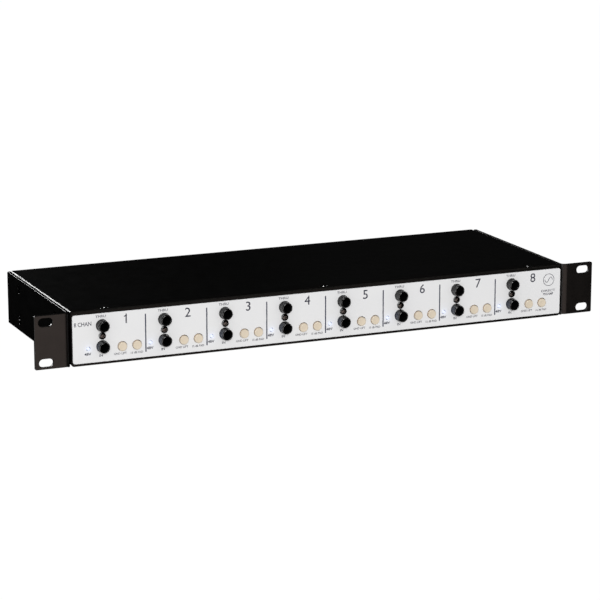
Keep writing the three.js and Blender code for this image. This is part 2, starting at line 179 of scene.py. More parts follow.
# ---------------------------------------------------------------- materials
class Material:
    """A Principled material whose colour, roughness and bump come from object-space noise."""

    def __init__(self, name, colour, roughness=0.5, metallic=0.0, specular=0.5):
        self.material = bpy.data.materials.new(name)
        self.material.use_nodes = True
        self.tree = self.material.node_tree
        self.shader = self.tree.nodes["Principled BSDF"]
        self.shader.inputs["Base Color"].default_value = (*colour, 1)
        self.shader.inputs["Roughness"].default_value = roughness
        self.shader.inputs["Metallic"].default_value = metallic
        self.shader.inputs["Specular IOR Level"].default_value = specular
        self.place = self.tree.nodes.new("ShaderNodeTexCoord").outputs["Object"]
        self.colour_link = None

    def node(self, kind, **settings):
        made = self.tree.nodes.new(kind)
        for key, value in settings.items():
            setattr(made, key, value)
        return made

    def link(self, start, end):
        self.tree.links.new(start, end)

    def noise(self, size, detail=3.0, stretch=(1, 1, 1)):
        """Noise with features about size metres across, drawn out along axes by stretch."""
        scale = self.node("ShaderNodeVectorMath", operation="MULTIPLY")
        scale.inputs[1].default_value = [1 / (size * s) for s in stretch]
        self.link(self.place, scale.inputs[0])
        texture = self.node("ShaderNodeTexNoise")
        texture.inputs["Scale"].default_value = 1.0
        texture.inputs["Detail"].default_value = detail
        self.link(scale.outputs[0], texture.inputs["Vector"])
        return texture.outputs["Fac"]

    def ramp(self, value, low, high, start=0.3, end=0.7):
        """Goes from low to high while value goes from start to end."""
        made = self.node("ShaderNodeMapRange")
        made.inputs["From Min"].default_value = start
        made.inputs["From Max"].default_value = end
        made.inputs["To Min"].default_value = low
        made.inputs["To Max"].default_value = high
        self.link(value, made.inputs["Value"])
        return made.outputs["Result"]

    def vary_colour(self, value, other, start=0.3, end=0.7):
        """Mixes the colour so far towards other where value is high."""
        mix = self.node("ShaderNodeMix", data_type="RGBA")
        base = self.shader.inputs["Base Color"]
        if self.colour_link:
            self.link(self.colour_link, mix.inputs["A"])
        else:
            mix.inputs["A"].default_value = base.default_value
        mix.inputs["B"].default_value = (*other, 1)
        self.link(self.ramp(value, 0, 1, start, end), mix.inputs["Factor"])
        self.colour_link = mix.outputs["Result"]
        self.link(self.colour_link, base)

    def vary_roughness(self, value, low, high):
        self.link(self.ramp(value, low, high), self.shader.inputs["Roughness"])

    def bump(self, value, depth, strength):
        made = self.node("ShaderNodeBump")
        made.inputs["Distance"].default_value = depth
        made.inputs["Strength"].default_value = strength
        self.link(value, made.inputs["Height"])
        self.link(made.outputs["Normal"], self.shader.inputs["Normal"])

    def glow(self, colour, strength):
        self.shader.inputs["Emission Color"].default_value = (*colour, 1)
        self.link(strength, self.shader.inputs["Emission Strength"])

    def calculate(self, operation, *values):
        """A maths node, each of whose values is a number or another node's output."""
        made = self.node("ShaderNodeMath", operation=operation)
        for socket, value in zip(made.inputs, values):
            if isinstance(value, float):
                socket.default_value = value
            else:
                self.link(value, socket)
        return made.outputs[0]

    def split(self, vector):
        made = self.node("ShaderNodeSeparateXYZ")
        self.link(vector, made.inputs[0])
        return made.outputs

    def worn_edges(self, colour):
        """Edges that stick out show colour, broken up by noise; flat faces show none."""
        geometry = self.node("ShaderNodeNewGeometry")
        size = self.node("ShaderNodeVectorMath", operation="ABSOLUTE")
        self.link(geometry.outputs["True Normal"], size.inputs[0])
        x, y, z = self.split(size.outputs[0])
        squareness = self.calculate("MAXIMUM", self.calculate("MAXIMUM", x, y), z)
        edge = self.ramp(geometry.outputs["Pointiness"], 0, 1, 0.52, 0.6)
        broken = self.calculate("MULTIPLY", edge, self.ramp(self.noise(1.5 * MM), 0.2, 1.0))
        off_flats = self.ramp(squareness, 1, 0, 0.99, 0.9995)
        self.vary_colour(self.calculate("MULTIPLY", broken, off_flats), colour, 0, 1)


def black_paint(name, specular):
    paint = Material(name, (0.002, 0.0019, 0.0018), specular=specular)
    paint.vary_colour(paint.noise(60 * MM, 4), (0.0032, 0.003, 0.0028))
    paint.vary_roughness(paint.noise(9 * MM), 0.29, 0.35)
    paint.bump(paint.noise(0.7 * MM, 2), 0.006 * MM, 0.6)
    paint.worn_edges((0.03, 0.027, 0.025))
    return paint.material


def label_white():
    white = Material("label_white", (0.79, 0.79, 0.793), specular=0.12)
    white.vary_colour(white.noise(35 * MM, 3), (0.77, 0.77, 0.777))
    white.vary_roughness(white.noise(6 * MM), 0.38, 0.5)
    white.bump(white.noise(0.35 * MM, 2), 0.004 * MM, 0.5)
    lamp_glow(white)
    return white.material


def lamp_glow(white):
    """The faint blue light that each lamp throws on the label round it."""
    x, _, z = white.split(white.place)
    first = JACK_X[1] + LAMP.x - PITCH / 2
    along = white.calculate("FLOORED_MODULO", white.calculate("SUBTRACT", x, first), PITCH)
    across = white.calculate("SUBTRACT", along, PITCH / 2)
    up = white.calculate("SUBTRACT", z, LAMP.z)
    squares = [white.calculate("MULTIPLY", part, part) for part in (across, up)]
    distance = white.calculate("SQRT", white.calculate("ADD", *squares))
    near = white.ramp(distance, 0.1, 0.0, 1.2 * MM, 4.2 * MM)
    wide = white.ramp(distance, 0.05, 0.0, 2 * MM, 9 * MM)
    in_row = white.calculate("LESS_THAN", x, JACK_X[8])
    strength = white.calculate("MULTIPLY", white.calculate("ADD", near, wide), in_row)
    white.glow((0.45, 0.6, 1.0), strength)


def moulded(name, colour, lighter, gloss=(0.35, 0.5), specular=0.4):
    made = Material(name, colour, specular=specular)
    made.vary_colour(made.noise(4 * MM, 4), lighter)
    made.vary_roughness(made.noise(1.2 * MM), *gloss)
    made.bump(made.noise(0.25 * MM, 2), 0.01 * MM, 0.5)
    return made


def moulding(*look):
    return moulded(*look).material


NYLON_LOOK = (0.0015, 0.0015, 0.0018), (0.003, 0.003, 0.0033), (0.22, 0.34), 0.7


def nylon_by_lamp():
    """The jacks' nylon, with the lamp's blue light on its left side."""
    lit = moulded("black_nylon_by_lamp", *NYLON_LOOK)
    x = lit.split(lit.node("ShaderNodeNewGeometry").outputs["Normal"])["X"]
    lit.glow((0.25, 0.45, 1.0), lit.ramp(x, 0.022, 0.0, -0.95, -0.45))
    return lit.material


def cream_plastic():
    """Pale on the face, with painted shade a little darker down the side and dark in the hole.
    """
    look = (0.69, 0.6, 0.465), (0.71, 0.62, 0.49), (0.28, 0.4), 0.5
    cream = moulded("cream_plastic", *look)
    depth = cream.split(cream.place)["Y"]
    # painted shade: the side of the cap darkens towards the label
    cream.vary_colour(depth, (0.6, 0.47, 0.35), FRONT - 1.5 * MM, FRONT - 0.2 * MM)
    # painted shade: dark brown where the cap sits in the hole, behind the label's front
    cream.vary_colour(depth, (0.34, 0.26, 0.19), FRONT + 0.1 * MM, FRONT + 1.4 * MM)
    return cream.material


def metal(name, colour, darker, gloss=(0.2, 0.35), stretch=(1, 1, 1)):
    made = Material(name, colour, metallic=1.0)
    made.vary_colour(made.noise(3 * MM, 4), darker)
    made.vary_roughness(made.noise(0.8 * MM, 3, stretch), *gloss)
    made.bump(made.noise(0.2 * MM, 2, stretch), 0.004 * MM, 0.5)
    return made.material


def circuit_board():
    board = Material("solder_mask", (0.012, 0.075, 0.028), specular=0.5)
    tracks = board.node("ShaderNodeTexVoronoi", feature="DISTANCE_TO_EDGE")
    tracks.inputs["Scale"].default_value = 180
    board.link(board.place, tracks.inputs["Vector"])
    board.vary_colour(tracks.outputs["Distance"], (0.008, 0.05, 0.018), 0.02, 0.06)
    board.vary_roughness(board.noise(5 * MM), 0.25, 0.4)
    board.bump(tracks.outputs["Distance"], 0.02 * MM, 0.4)
    return board.material


def lamp_lens():
    """Lit from behind: near white in the middle, bluer where the lens curves away."""
    lens = Material("lit_lens", (0.12, 0.14, 0.18), specular=0.4)
    lens.vary_colour(lens.noise(0.8 * MM), (0.1, 0.12, 0.17))
    lens.vary_roughness(lens.noise(1 * MM), 0.15, 0.25)
    facing = lens.node("ShaderNodeLayerWeight")
    facing.inputs["Blend"].default_value = 0.5
    mix = lens.node("ShaderNodeMix", data_type="RGBA")
    mix.inputs["A"].default_value = (0.9, 0.93, 1.0, 1)
    mix.inputs["B"].default_value = (0.62, 0.7, 1.0, 1)
    lens.link(lens.ramp(facing.outputs["Facing"], 0, 1, 0.1, 0.7), mix.inputs["Factor"])
    lens.link(mix.outputs["Result"], lens.shader.inputs["Emission Color"])
    lens.shader.inputs["Emission Strength"].default_value = 0.92
    return lens.material


def printing_ink(name, colour, lighter):
    ink = Material(name, colour, specular=0.3)
    ink.vary_colour(ink.noise(0.6 * MM), lighter)
    ink.vary_roughness(ink.noise(1 * MM), 0.4, 0.55)
    return ink.material


PAINT = black_paint("black_powder_coat", 0.4)
PANEL_PAINT = black_paint("black_panel_coat", 0.12)
WHITE = label_white()
NYLON = moulding("black_nylon", *NYLON_LOOK)
NYLON_BY_LAMP = nylon_by_lamp()
SWITCH = moulding("switch_nylon", (0.02, 0.02, 0.021), (0.03, 0.03, 0.031))
CREAM = cream_plastic()
BOARD = circuit_board()
STEEL = metal("laminated_steel", (0.42, 0.43, 0.45), (0.3, 0.31, 0.33), (0.3, 0.5), (8, 1, 1))
BRASS = metal("turned_brass", (0.78, 0.55, 0.2), (0.6, 0.42, 0.16))
NICKEL = metal("nickel", (0.72, 0.7, 0.66), (0.55, 0.54, 0.5), (0.12, 0.25))
BLACK_STEEL = metal("black_zinc", (0.13, 0.13, 0.13), (0.08, 0.08, 0.08), (0.14, 0.24))
POLISHED = metal("polished_black_zinc", (0.6, 0.6, 0.6), (0.45, 0.45, 0.45), (0.12, 0.2))
DIE_CAST = moulding(
    "black_die_cast", (0.009, 0.009, 0.0095), (0.014, 0.014, 0.015), (0.4, 0.5)
)
LENS = lamp_lens()
DARK_INK = printing_ink("dark_ink", (0.03, 0.032, 0.055), (0.045, 0.048, 0.07))
LINE_INK = printing_ink("line_ink", (0.035, 0.04, 0.075), (0.05, 0.055, 0.09))
GREY_INK = printing_ink("grey_ink", (0.11, 0.11, 0.135), (0.15, 0.15, 0.17))
WHITE_INK = printing_ink("white_ink", (0.6, 0.6, 0.6), (0.5, 0.5, 0.5))
RESISTOR = moulding("resistor_lacquer", (0.12, 0.3, 0.42), (0.15, 0.35, 0.46), (0.25, 0.35))
TAPE = moulding("yellow_tape", (0.6, 0.38, 0.05), (0.5, 0.3, 0.04), (0.3, 0.4))
SLEEVE = moulding("capacitor_sleeve", (0.02, 0.03, 0.08), (0.03, 0.04, 0.1), (0.2, 0.3))


# ---------------------------------------------------------------- mesh tools
def keep_flats(mesh):
    """Marks the borders of faces square to an axis, so no bend's shading runs into them."""
    kinds = {}
    for face in mesh.polygons:
        square = max(abs(part) for part in face.normal) > 0.99999
        for i in face.loop_indices:
            kinds.setdefault(mesh.loops[i].edge_index, set()).add(square)
    for edge, found in kinds.items():
        if len(found) == 2:
            mesh.edges[edge].use_edge_sharp = True


SHEET_SHARP = 13  # degrees, below the 15 between a flat face and its eased edge


def piece(name, mesh, material, slot, body=BODY, sharp=None):
    """Turned and moulded pieces give the angle in degrees from which an edge is sharp."""
    mesh.materials.clear()
    mesh.materials.append(material)
    mesh.set_sharp_from_angle(angle=math.radians(sharp or SHEET_SHARP))
    if sharp is None:
        keep_flats(mesh)
    for face in mesh.polygons:
        face.use_smooth = True
    made = in_scene(name, mesh)
    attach(made, body)
    return made


def mesh_of(bm, name):
    bmesh.ops.recalc_face_normals(bm, faces=bm.faces)
    mesh = bpy.data.meshes.new(name)
    bm.to_mesh(mesh)
    bm.free()
    return mesh


def copy_at(mesh, place):
    own = mesh.copy()
    own.transform(Matrix.Translation(place))
    return own


def realised(holder):
    """The mesh that a curve, a piece of text or an object with a modifier comes to."""
    bpy.context.view_layer.update()
    graph = bpy.context.evaluated_depsgraph_get()
    mesh = bpy.data.meshes.new_from_object(holder.evaluated_get(graph))
    bpy.data.objects.remove(holder)
    return mesh


SQUARE = ((-1, -1), (1, -1), (1, 1), (-1, 1))


def closed_skin(bm, rows):
    """A skin through rows of corners, one after the other, with both ends closed."""
    rows = [[bm.verts.new(corner) for corner in row] for row in rows]
    for row, after in zip(rows, rows[1:]):
        for i in range(len(row)):
            j = (i + 1) % len(row)
            bm.faces.new((row[i], row[j], after[j], after[i]))
    bm.faces.new(rows[0])
    bm.faces.new(rows[-1][::-1])


def revolve(bm, profile, centre, along, steps):
    """Turns a profile of (distance along the axis, radius) points into a closed skin."""
    axis = {"x": 0, "y": 1, "z": 2}[along]
    u, v = (axis + 1) % 3, (axis + 2) % 3
    rings = []
    for distance, radius in profile:
        ring = []
        count = steps if radius > 1e-7 else 1
        for i in range(count):
            angle = 2 * math.pi * i / steps
            place = Vector(centre)
            place[axis] += distance
            place[u] += radius * math.cos(angle)
            place[v] += radius * math.sin(angle)
            ring.append(bm.verts.new(place))
        rings.append(ring)
    for ring, after in zip(rings, rings[1:]):
        for i in range(steps):
            j = (i + 1) % steps
            corners = [ring[i % len(ring)], ring[j % len(ring)]]
            corners += [after[j % len(after)], after[i % len(after)]]
            corners = list(dict.fromkeys(corners))
            if len(corners) > 2:
                bm.faces.new(corners)


def turned(name, profile, along, steps):
    bm = bmesh.new()
    revolve(bm, profile, (0, 0, 0), along, steps)
    return mesh_of(bm, name)


def circle(x, y, radius, steps=48):
    angles = [2 * math.pi * i / steps for i in range(steps)]
    return [(x + radius * math.cos(a), y + radius * math.sin(a)) for a in angles]


def arc_points(x, y, radius, start, turn, steps):
    """Points round (x, y) from start degrees, through turn degrees."""
    angles = [math.radians(start + turn * i / steps) for i in range(steps + 1)]
    return [(x + radius * math.cos(a), y + radius * math.sin(a)) for a in angles]


def rounded_outline(x0, x1, y0, y1, radius, steps=6):
    points = []
    for x, y, start in ((x1, y1, 0), (x0, y1, 90), (x0, y0, 180), (x1, y0, 270)):
        cx = x - math.copysign(radius, x - (x0 + x1) / 2)
        cy = y - math.copysign(radius, y - (y0 + y1) / 2)
        points += arc_points(cx, cy, radius, start, 90, steps)
    return points


def slot_outline(x, y, length, width):
    half, radius = (length - width) / 2, width / 2
    right = arc_points(x + half, y, radius, -90, 180, 10)
    return right + arc_points(x - half, y, radius, 90, 180, 10)


SAME_POINT = 0.001 * MM


def plate(name, outline, holes, thickness, bevel):
    """A flat plate in X and Y, from z = 0 up to thickness, with rounded edges."""
    curve = bpy.data.curves.new(name, "CURVE")
    curve.dimensions = "2D"
    curve.fill_mode = "BOTH"
    curve.extrude = thickness / 2 - bevel
    curve.bevel_depth = bevel
    curve.bevel_resolution = 2
    curve.offset = -bevel
    for points in [outline, *holes]:
        spline = curve.splines.new("POLY")
        spline.points.add(len(points) - 1)
        for point, (x, y) in zip(spline.points, points):
            point.co = (x, y, 0, 1)
        spline.use_cyclic_u = True
    mesh = realised(in_scene(name, curve))
    bpy.data.curves.remove(curve)
    mesh.transform(Matrix.Translation((0, 0, thickness / 2)))
    bm = bmesh.new()
    bm.from_mesh(mesh)
    bmesh.ops.remove_doubles(bm, verts=bm.verts, dist=SAME_POINT)
    bpy.data.meshes.remove(mesh)
    return mesh_of(bm, name)


def stand_up(mesh, y_front):
    """Turns a plate drawn in X and Y to stand in X and Z, its z = 0 face at y_front."""
    mesh.transform(Matrix(((1, 0, 0, 0), (0, 0, 1, y_front), (0, 1, 0, 0), (0, 0, 0, 1))))
    mesh.flip_normals()
    return mesh


def fold(mesh, places, rule):
    """Cuts a flat sheet across X at each place, then moves every point by rule."""
    bm = bmesh.new()
    bm.from_mesh(mesh)
    for x in places:
        everything = bm.verts[:] + bm.edges[:] + bm.faces[:]
        bmesh.ops.bisect_plane(bm, geom=everything, plane_co=(x, 0, 0), plane_no=(1, 0, 0))
    for vert in bm.verts:
        vert.co = rule(vert.co)
    name = mesh.name
    bpy.data.meshes.remove(mesh)
    return mesh_of(bm, name)


def modified(mesh, kind, **settings):
    """The mesh with a modifier applied."""
    holder = in_scene("holder", mesh)
    modifier = holder.modifiers.new(kind, kind)
    for key, value in settings.items():
        setattr(modifier, key, value)
    return realised(holder)


def bevelled(mesh, width):
    limit = dict(limit_method="ANGLE", angle_limit=math.radians(35))
    return modified(mesh, "BEVEL", width=width, segments=2, **limit)


def from_node(node, width):
    """The CAD node's own shape, with its flat faces whole again and its edges eased."""
    bm = bmesh.new()
    bm.from_mesh(frame["nodes"][node].data)
    bmesh.ops.remove_doubles(bm, verts=bm.verts, dist=SAME_POINT)
    flat = math.radians(1)
    bmesh.ops.dissolve_limit(bm, angle_limit=flat, verts=bm.verts, edges=bm.edges)
    return bevelled(mesh_of(bm, node), width)


def box_mesh(name, low, high, bevel):
    bm = bmesh.new()
    bmesh.ops.create_cube(bm, size=1)
    low, high = Vector(low), Vector(high)
    for vert in bm.verts:
        vert.co = [
            (low[i] + high[i]) / 2 + vert.co[i] * (high[i] - low[i]) for i in range(3)
        ]
    return bevelled(mesh_of(bm, name), bevel)


# ---------------------------------------------------------------- case
EAR_BEND = 5.5 * MM  # outer radius of the bend between a side plate and its ear
EAR_CORNER = 1.2 * MM
EAR_BOTTOM = 0.7 * MM
REAR_CORNER = 2 * MM
RACK_SLOT = 11.4 * MM, 6.4 * MM
SIDE_SCREWS = [(y * MM, z * MM) for y in (-47.5, 47.5) for z in (9.3, 34.5)]
SIDE_HEAD = 3.25 * MM
COVER_SCREWS = [(x * MM, FRONT + 6 * MM) for x in (-183.5, 0, 183.5)]
COVER_HEAD = 3.05 * MM
OUTPUT_SCREW = 9.6 * MM, 12.1 * MM  # across and up from an output's axis


def bend_steps(start, end, steps):
    return [start + (end - start) * i / steps for i in range(steps + 1)]


def side_plate(node, side):
    """One sheet, drawn flat from its rear end to the ear's tip, then bent outwards."""
    straight = REAR - (FRONT + EAR_BEND)
    arc = (EAR_BEND - SIDE_SHEET / 2) * math.pi / 2
    ear = EAR_TIP - (SIDE_IN + EAR_BEND)
    tip = straight + arc + ear - EAR_CORNER
    outline = [(0, 0), (straight + arc * 0.45, 0), (straight + arc * 0.55, EAR_BOTTOM)]
    outline += arc_points(tip, EAR_BOTTOM + EAR_CORNER, EAR_CORNER, 270, 90, 6)
    outline += arc_points(tip, TOP - EAR_CORNER, EAR_CORNER, 0, 90, 6)
    outline += arc_points(REAR_CORNER, TOP - REAR_CORNER, REAR_CORNER, 90, 90, 6)
    slots = []
    for level in ("lower", "upper"):
        place = opening_middle(f"right_{level}_rack_slot")
        along = straight + arc + place.x - SIDE_IN - EAR_BEND
        slots.append(slot_outline(along, place.z, *RACK_SLOT))
    holes = [circle(REAR - y, z, SIDE_HEAD + 0.05 * MM, 32) for y, z in SIDE_SCREWS]
    flat = plate(node, outline, slots + holes, SIDE_SHEET, 0.4 * MM)

    def rule(point):
        along, height, depth = point
        centre = Vector((SIDE_IN + EAR_BEND, FRONT + EAR_BEND))
        if along <= straight:
            x, y = SIDE_IN + depth, REAR - along
        elif along >= straight + arc:
            x = centre.x + along - straight - arc
            y = centre.y - EAR_BEND + depth
        else:
            angle = (along - straight) / arc * math.pi / 2
            x = centre.x - (EAR_BEND - depth) * math.cos(angle)
            y = centre.y - (EAR_BEND - depth) * math.sin(angle)
        return Vector((side * x, y, height))

    mesh = fold(flat, bend_steps(straight, straight + arc, 10), rule)
    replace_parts(piece(node + "_sheet", mesh, PAINT, "black_paint"), node)


def top_cover():
    """One sheet, drawn flat and bent down at both sides."""
    bend = 2 * MM
    start = COVER_SIDE - bend
    arc = (bend - SHEET / 2) * math.pi / 2
    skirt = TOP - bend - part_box("top_cover")[0].z
    half = start + arc + skirt
    outline = [(-half, INSIDE_FRONT), (half, INSIDE_FRONT), (half, REAR), (-half, REAR)]
    holes = [circle(x, y, COVER_HEAD + 0.05 * MM, 32) for x, y in COVER_SCREWS]
    flat = plate("top_cover", outline, holes, SHEET, 0.2 * MM)

    def rule(point):
        across, y, height = point
        depth = SHEET - height
        side = math.copysign(1, across)
        out = abs(across)
        if out <= start:
            return Vector((across, y, TOP - depth))
        angle = min((out - start) / arc, 1) * math.pi / 2
        down = max(out - start - arc, 0)
        x = start + (bend - depth) * math.sin(angle)
        z = TOP - bend + (bend - depth) * math.cos(angle) - down
        return Vector((side * x, y, z))

    places = bend_steps(start, start + arc, 8)
    mesh = fold(flat, places + [-x for x in places], rule)
    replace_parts(piece("cover_sheet", mesh, PAINT, "black_paint"), "top_cover")


def folded_cases():
    for node, width, paint in (
        ("chassis_tray", 0.2, PAINT),
        ("front_panel", 0.15, PANEL_PAINT),
        ("rear_panel", 0.2, PAINT),
    ):
        made = piece(node + "_sheet", from_node(node, width * MM), paint, "black_paint")
        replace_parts(made, node)


def label_plate():
    low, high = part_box("front_label_plate")
    outline = rounded_outline(low.x, high.x, low.z, high.z, 1.8 * MM, 8)
    nozzle, screw, lamp, button = 4.85 * MM, 1.7 * MM, 1.65 * MM, 3.9 * MM  # hole radii
    holes = []
    for c in CHANNELS:
        x = JACK_X[c]
        holes += [circle(x, THRU_Z, nozzle, 56), circle(x, IN_Z, nozzle, 56)]
        holes += [circle(x, SCREW_Z, screw, 24), circle(x + LAMP.x, LAMP.z, lamp, 32)]
        for kind in ("ground_lift", "pad"):
            holes.append(circle(middle(f"{kind}_button_{c}").x, BUTTON_HOLE_Z, button))
    flat = plate("label", outline, holes, high.y - low.y, 0.12 * MM)
    made = piece("label_plate", stand_up(flat, FRONT), WHITE, "label_white")
    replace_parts(made, "front_label_plate")


# ---------------------------------------------------------------- screws
def cross_recess(size, depth):
    """The cutter for a cross recess: two tapered wedges at right angles, pointing up in Z."""
    bm = bmesh.new()
    width = size * 0.2
    for turn in (0, 90):
        spin = Matrix.Rotation(math.radians(turn), 4, "Z")
        low = [(sx * size * 0.35, sy * width * 0.8, -depth) for sx, sy in SQUARE]
        high = [(sx * size, sy * width, depth * 0.6) for sx, sy in SQUARE]
        closed_skin(bm, [[spin @ Vector(corner) for corner in row] for row in (low, high)])
    return mesh_of(bm, "cross_recess")


def screw_mesh(name, profile, recess_at, size, depth):
    """A turned screw along Z, head up, with a cross recess sunk at recess_at."""
    cutter = in_scene("cutter", copy_at(cross_recess(size, depth), (0, 0, recess_at)))
    cut = dict(object=cutter, operation="DIFFERENCE", solver="EXACT", use_self=True)
    made = modified(turned(name, profile, "z", 40), "BOOLEAN", **cut)
    bpy.data.objects.remove(cutter)
    return made


def pan_head(radius, height, shank, length):
    """A domed head on a shank; z = 0 is the seat."""
    r, h = radius, height
    dome = [(h, 0), (h * 0.98, r * 0.45), (h * 0.86, r * 0.75), (h * 0.6, r * 0.94)]
    dome += [(h * 0.3, r), (0, r), (0, shank), (-length, shank), (-length, 0)]
    return screw_mesh("pan_head_screw", dome, height, radius * 0.62, height * 0.62)


def flat_head(radius, depth, shank, length):
    """A countersunk head on a shank; z = 0 is the flush face."""
    r = radius
    profile = [(0, 0), (0, r - 0.4 * MM), (-0.08 * MM, r - 0.18 * MM)]
    profile += [(-0.2 * MM, r - 0.04 * MM), (-0.35 * MM, r)]
    profile += [(-depth, shank), (-length, shank), (-length, 0)]
    return screw_mesh("flat_head_screw", profile, 0, radius * 0.55, depth * 0.8)


TOWARDS = {  # turns a screw whose head points up to point another way
    "up": Matrix.Identity(4),
    "front": Matrix.Rotation(math.radians(90), 4, "X"),
    "rear": Matrix.Rotation(math.radians(-90), 4, "X"),
    "left": Matrix.Rotation(math.radians(-90), 4, "Y"),
    "right": Matrix.Rotation(math.radians(90), 4, "Y"),
}


def put_screw(name, mesh, place, towards, turn, material=BLACK_STEEL):
    """Each screw is a copy turned by its own angle, as screws end up when they are driven."""
    own = mesh.copy()
    spin = Matrix.Rotation(math.radians(turn), 4, "Z")
    own.transform(Matrix.Translation(place) @ TOWARDS[towards] @ spin)
    piece(name, own, material, "screw_black", sharp=30)


def turn_of(index):
    """An angle that looks driven by hand, the same each run."""
    return (index * 47) % 90


def fasteners():
    pan = pan_head(2.87 * MM, 2.0 * MM, 1.5 * MM, 9 * MM)
    for c in CHANNELS:
        place = (JACK_X[c], FRONT, SCREW_Z)
        put_screw(f"jack_screw_{c}", pan, place, "front", turn_of(c))
    cover = flat_head(COVER_HEAD, 1.5 * MM, 1.2 * MM, 4 * MM)
    for i, ((x, y), turn) in enumerate(zip(COVER_SCREWS, (3, -6, 5)), 1):
        put_screw(f"cover_screw_{i}", cover, (x, y, TOP), "up", turn, POLISHED)
    side = flat_head(SIDE_HEAD, 1.5 * MM, 1.2 * MM, 5 * MM)
    for name, sign in (("left", -1), ("right", 1)):
        for i, (y, z) in enumerate(SIDE_SCREWS, 1):
            place = (sign * SIDE_OUT, y, z)
            put_screw(f"{name}_side_screw_{i}", side, place, name, turn_of(i + 5))
    small = flat_head(2.3 * MM, 1.2 * MM, 1.2 * MM, 4 * MM)
    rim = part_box("xlr_output_1")[1].y
    for c in CHANNELS:
        for i, k in enumerate((-1, 1), 1):
            x, z = JACK_X[c] - k * OUTPUT_SCREW[0], OUTPUT_Z + k * OUTPUT_SCREW[1]
            place = (x, rim - 0.03 * MM, z)
            put_screw(f"output_screw_{c}_{i}", small, place, "rear", turn_of(c + i))


# ---------------------------------------------------------------- front controls
def jacks():
    """Stacked jack sockets: a moulded block and two turned nozzles with their bores."""
    low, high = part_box("stacked_jack_1")
    half = (high.x - low.x) / 2
    front = INSIDE_FRONT
    wall, inner_wall, bore = 4.5 * MM, 4.2 * MM, 3.3 * MM
    reach = front - NOZZLE_TIP
    profile = [(reach + 22 * MM, 0), (reach + 22 * MM, bore), (0.7 * MM, bore)]
    profile += [(0.1 * MM, bore + 0.3 * MM), (0, bore + 0.4 * MM), (0, wall - 0.75 * MM)]
    profile += [(0.1 * MM, wall - 0.6 * MM), (0.8 * MM, wall - 0.06 * MM), (1.0 * MM, wall)]
    for groove in (2.0, 3.3, 4.6):
        along = groove * MM
        profile += [(along, wall), (along + 0.12 * MM, wall - 0.14 * MM)]
        profile += [(along + 0.38 * MM, wall - 0.14 * MM), (along + 0.5 * MM, wall)]
    profile += [(reach, wall), (reach, inner_wall), (reach + 24 * MM, inner_wall)]
    profile += [(reach + 24 * MM, 0)]
    nozzle = turned("nozzle", profile, "y", 64)
    holes = [circle(0, THRU_Z, 4.25 * MM), circle(0, IN_Z, 4.25 * MM)]
    holes.append(circle(0, SCREW_Z, 1.55 * MM, 24))
    outline = rounded_outline(-half, half, low.z, high.z, 0.8 * MM)
    block = stand_up(plate("jack_block", outline, holes, 24.5 * MM, 0.25 * MM), front)
    spring = contact_spring()
    for c in CHANNELS:
        x = JACK_X[c]
        made = piece(f"jack_block_{c}", copy_at(block, (x, 0, 0)), NYLON, "black_moulding")
        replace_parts(made, f"stacked_jack_{c}")
        start, end = (x - half, front + 24.7 * MM, low.z), (x + half, high.y, high.z)
        back = box_mesh("jack_back", start, end, 0.5 * MM)
        piece(f"jack_back_{c}", back, NYLON, "black_moulding")
        for kind, z in (("thru", THRU_Z), ("in", IN_Z)):
            place = (x, NOZZLE_TIP, z)
            own = copy_at(nozzle, place)
            piece(f"{kind}_nozzle_{c}", own, NYLON, "black_moulding", sharp=50)
            own.materials.append(NYLON_BY_LAMP)
            for face in own.polygons:
                out = math.hypot(face.center.x - x, face.center.z - z)
                face.material_index = int(kind == "in" and out > inner_wall)
            leaf = copy_at(spring, place)
            piece(f"{kind}_contact_{c}", leaf, NICKEL, "contact_metal")


def contact_spring():
    """The bent leaf that meets the plug's tip, seen deep in the bore."""
    width, thick = 1.0 * MM, 0.25 * MM
    line = [(26, 3.05), (22, 2.6), (19.5, 1.6), (17.5, 2.4), (14, 3.0)]
    corners = [(-width, 0), (width, 0), (width, -thick), (-width, -thick)]
    bm = bmesh.new()
    closed_skin(bm, [[(x, y * MM, dz - down * MM) for x, dz in corners] for y, down in line])
    return bevelled(mesh_of(bm, "contact_spring"), 0.06 * MM)


def buttons():
    """A turned cap with an eased, slightly dished face on a square stem."""
    low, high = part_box("pad_button_1")
    radius = (high.x - low.x) / 2
    cap = 2.8 * MM
    profile = [(0.2 * MM, 0), (0.13 * MM, radius * 0.45), (0.02 * MM, radius * 0.72)]
    profile += [(0, radius * 0.8), (0.12 * MM, radius * 0.88), (0.45 * MM, radius * 0.95)]
    profile += [(1.2 * MM, radius * 0.99), (cap, radius), (cap, 0)]
    bm = bmesh.new()
    revolve(bm, profile, (0, low.y, 0), "y", 56)
    stem, ends = 1.5 * MM, (low.y + cap, high.y)
    closed_skin(bm, [[(sx * stem, y, sz * stem) for sx, sz in SQUARE] for y in ends])
    mesh = mesh_of(bm, "button")
    for c in CHANNELS:
        for kind in ("ground_lift_button", "pad_button"):
            node = f"{kind}_{c}"
            at = middle(node)
            own = copy_at(mesh, (at.x, 0, at.z))
            made = piece(f"{kind}_cap_{c}", own, CREAM, "cream_plastic", node, sharp=40)
            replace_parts(made, node)


def lamps():
    """Small lenses flush in the label, each on its own holder behind the panel."""
    radius = 1.3 * MM
    dome = [(-0.55, 0), (-0.5, 0.4), (-0.36, 0.75), (-0.12, 0.93), (0.1, 1.0)]
    profile = [(along * MM, share * radius) for along, share in dome]
    profile += [(5 * MM, radius), (5 * MM, 0)]
    mesh = turned("lens", profile, "y", 32)
    for c in CHANNELS:
        own = copy_at(mesh, (JACK_X[c] + LAMP.x, FRONT + 0.05 * MM, LAMP.z))
        piece(f"lamp_{c}", own, LENS, "lamp_lens", sharp=40)


# ---------------------------------------------------------------- printing
INK = 0.02 * MM
CAPITAL = 0.7  # height of a capital letter, in sizes of the font


